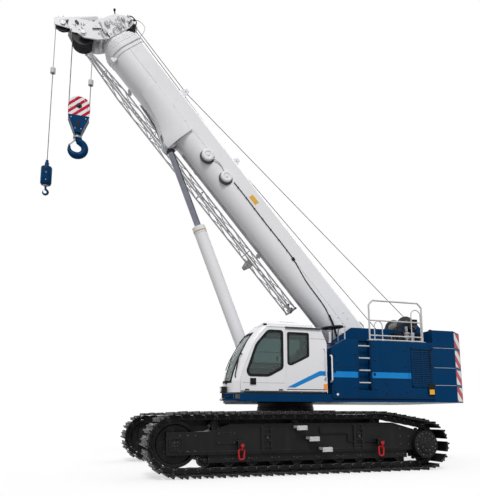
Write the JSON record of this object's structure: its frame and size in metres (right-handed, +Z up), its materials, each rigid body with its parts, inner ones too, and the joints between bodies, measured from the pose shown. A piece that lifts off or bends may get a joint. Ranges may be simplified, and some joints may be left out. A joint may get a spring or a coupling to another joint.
{
  "type": "crawler crane",
  "caption": "Telescopic crawler crane with a luffing round-bellied boom, two tracked side frames, rear counterweight, glazed cab and two hoist hooks.",
  "frame": {"origin": "middle of the crane's whole footprint, at ground level under the tracks", "axes": "+X forwards, the way the boom points; +Y to the crane's left, the cab's side; +Z up"},
  "size_m": [10.685, 5.3, 11.3187],
  "materials": {
    "blue_paint": "gloss",
    "black_paint": "satin",
    "white_paint": "gloss",
    "grey_paint": "satin",
    "dark_grey_paint": "satin",
    "track_steel": "worn",
    "steel": "satin",
    "chrome": "polished",
    "clear_glass": "clear",
    "seat_fabric": "matte",
    "black_plastic": "matte",
    "mirror_plate": "matte"
  },
  "bodies": {
    "undercarriage": {"carbody": "black_paint", "slew_ring_fixed": "black_paint"},
    "track_left": {"track_frame_left": "black_paint", "track_shoes_left": "track_steel", "track_drive_left": "black_paint", "track_idler_left": "black_paint", "track_rollers_left": "track_steel", "track_steps_left": "steel"},
    "track_right": {"track_frame_right": "black_paint", "track_shoes_right": "track_steel", "track_drive_right": "black_paint", "track_idler_right": "black_paint", "track_rollers_right": "track_steel", "track_steps_right": "steel"},
    "superstructure": {"slew_ring_turning": "black_paint", "turntable_frame": "blue_paint", "boom_pivot_pin": "steel", "housing_left": "blue_paint", "housing_right": "blue_paint", "boarding_ladder": "grey_paint", "counterweight_slabs": "blue_paint", "engine_block": "dark_grey_paint", "hydraulic_tank": "blue_paint", "handrail_left": "grey_paint", "handrail_right": "grey_paint", "exhaust_silencer": "steel", "mirror_left": "mirror_plate", "cab_base": "dark_grey_paint", "cab_shell": "white_paint", "cab_door_rails": "dark_grey_paint", "cab_glass": "clear_glass", "cab_roof_cap": "white_paint", "operator_seat": "seat_fabric", "control_console": "black_plastic", "winch_main": "dark_grey_paint", "winch_whip": "dark_grey_paint"},
    "sliding_door": {"cab_door": "white_paint", "cab_door_glass": "clear_glass"},
    "boom": {"boom_base": "white_paint", "lift_cylinder_bracket": "white_paint", "lattice_jib": "white_paint", "jib_brackets": "white_paint"},
    "section_2": {"boom_section_2": "white_paint"},
    "section_3": {"boom_section_3": "white_paint"},
    "section_4": {"boom_section_4": "white_paint"},
    "section_5": {"boom_section_5": "white_paint", "boom_head": "white_paint", "head_sheaves": "black_plastic", "rooster_nose": "white_paint"},
    "cylinder_rod": {"lift_cylinder_rod": "chrome"},
    "cylinder_barrel": {"lift_cylinder_barrel": "white_paint"},
    "main_line": {"main_rope_falls": "steel", "hoist_limit_weight_main": "dark_grey_paint"},
    "hoist_block": {"hook_block": "blue_paint", "hook_block_sheaves": "black_plastic"},
    "block_hook": {"main_hook": "dark_grey_paint"},
    "whip_line": {"hoist_limit_weight_whip": "dark_grey_paint"},
    "whip_weight": {"whip_ball": "blue_paint"},
    "ball_hook": {"whip_hook": "dark_grey_paint"}
  },
  "joints": [
    {"name": "track_left_extend", "type": "slide", "parent": "undercarriage", "child": "track_left", "axis": [0, 1, 0], "range_m": [-0.7, 0]},
    {"name": "track_right_extend", "type": "slide", "parent": "undercarriage", "child": "track_right", "axis": [0, -1, 0], "range_m": [-0.7, 0]},
    {"name": "slew", "type": "hinge", "parent": "undercarriage", "child": "superstructure", "pos_m": [-0.8155, 0, 1.36], "axis": [0, 0, 1], "continuous": true},
    {"name": "boom_luff", "type": "hinge", "parent": "superstructure", "child": "boom", "pos_m": [-2.9655, 0, 2.95], "axis": [0, -1, 0], "range_deg": [-50.5, 30.5]},
    {"name": "section_2_extend", "type": "slide", "parent": "boom", "child": "section_2", "axis": [0.6494, 0, 0.7604], "range_m": [0, 7.8]},
    {"name": "section_3_extend", "type": "slide", "parent": "section_2", "child": "section_3", "axis": [0.6494, 0, 0.7604], "range_m": [0, 7.8]},
    {"name": "section_4_extend", "type": "slide", "parent": "section_3", "child": "section_4", "axis": [0.6494, 0, 0.7604], "range_m": [0, 7.8]},
    {"name": "section_5_extend", "type": "slide", "parent": "section_4", "child": "section_5", "axis": [0.6494, 0, 0.7604], "range_m": [0, 7.8]},
    {"name": "cylinder_upper_eye", "type": "hinge", "parent": "boom", "child": "cylinder_rod", "pos_m": [2.30997, 0, 8.01815], "axis": [0, -1, 0], "range_deg": [-13.64, 8.24]},
    {"name": "cylinder_stroke", "type": "slide", "parent": "cylinder_rod", "child": "cylinder_barrel", "axis": [-0.3621, 0, -0.9321], "range_m": [-2.0272, 1.22435]},
    {"name": "main_line_hang", "type": "hinge", "parent": "section_5", "child": "main_line", "pos_m": [4.54043, 0, 10.545], "axis": [0, -1, 0], "range_deg": [-30.5, 50.5]},
    {"name": "main_hoist", "type": "slide", "parent": "main_line", "child": "hoist_block", "axis": [0, 0, -1], "range_m": [-0.38, 6.7]},
    {"name": "main_hook_swivel", "type": "hinge", "parent": "hoist_block", "child": "block_hook", "pos_m": [4.54043, 0, 7.8], "axis": [0, 0, 1], "continuous": true},
    {"name": "whip_line_hang", "type": "hinge", "parent": "section_5", "child": "whip_line", "pos_m": [5.0345, 0, 10.84632], "axis": [0, -1, 0], "range_deg": [-30.5, 50.5]},
    {"name": "whip_hoist", "type": "slide", "parent": "whip_line", "child": "whip_weight", "axis": [0, 0, -1], "range_m": [-2, 5.8]},
    {"name": "whip_hook_swivel", "type": "hinge", "parent": "whip_weight", "child": "ball_hook", "pos_m": [5.1975, 0, 6.5], "axis": [0, 0, 1], "continuous": true},
    {"name": "cab_door_slide", "type": "slide", "parent": "superstructure", "child": "sliding_door", "axis": [-1, 0, 0], "range_m": [0, 0.75]}
  ],
  "couplings": [
    {"joint": "section_3_extend", "follows": "section_2_extend", "ratio": 1},
    {"joint": "section_4_extend", "follows": "section_2_extend", "ratio": 1},
    {"joint": "section_5_extend", "follows": "section_2_extend", "ratio": 1},
    {"joint": "track_right_extend", "follows": "track_left_extend", "ratio": 1},
    {"joint": "cylinder_upper_eye", "follows": "boom_luff", "ratio": 0.27},
    {"joint": "cylinder_stroke", "follows": "boom_luff", "m_per_rad": 2.3},
    {"joint": "main_line_hang", "follows": "boom_luff", "ratio": -1},
    {"joint": "whip_line_hang", "follows": "boom_luff", "ratio": -1}
  ]
}
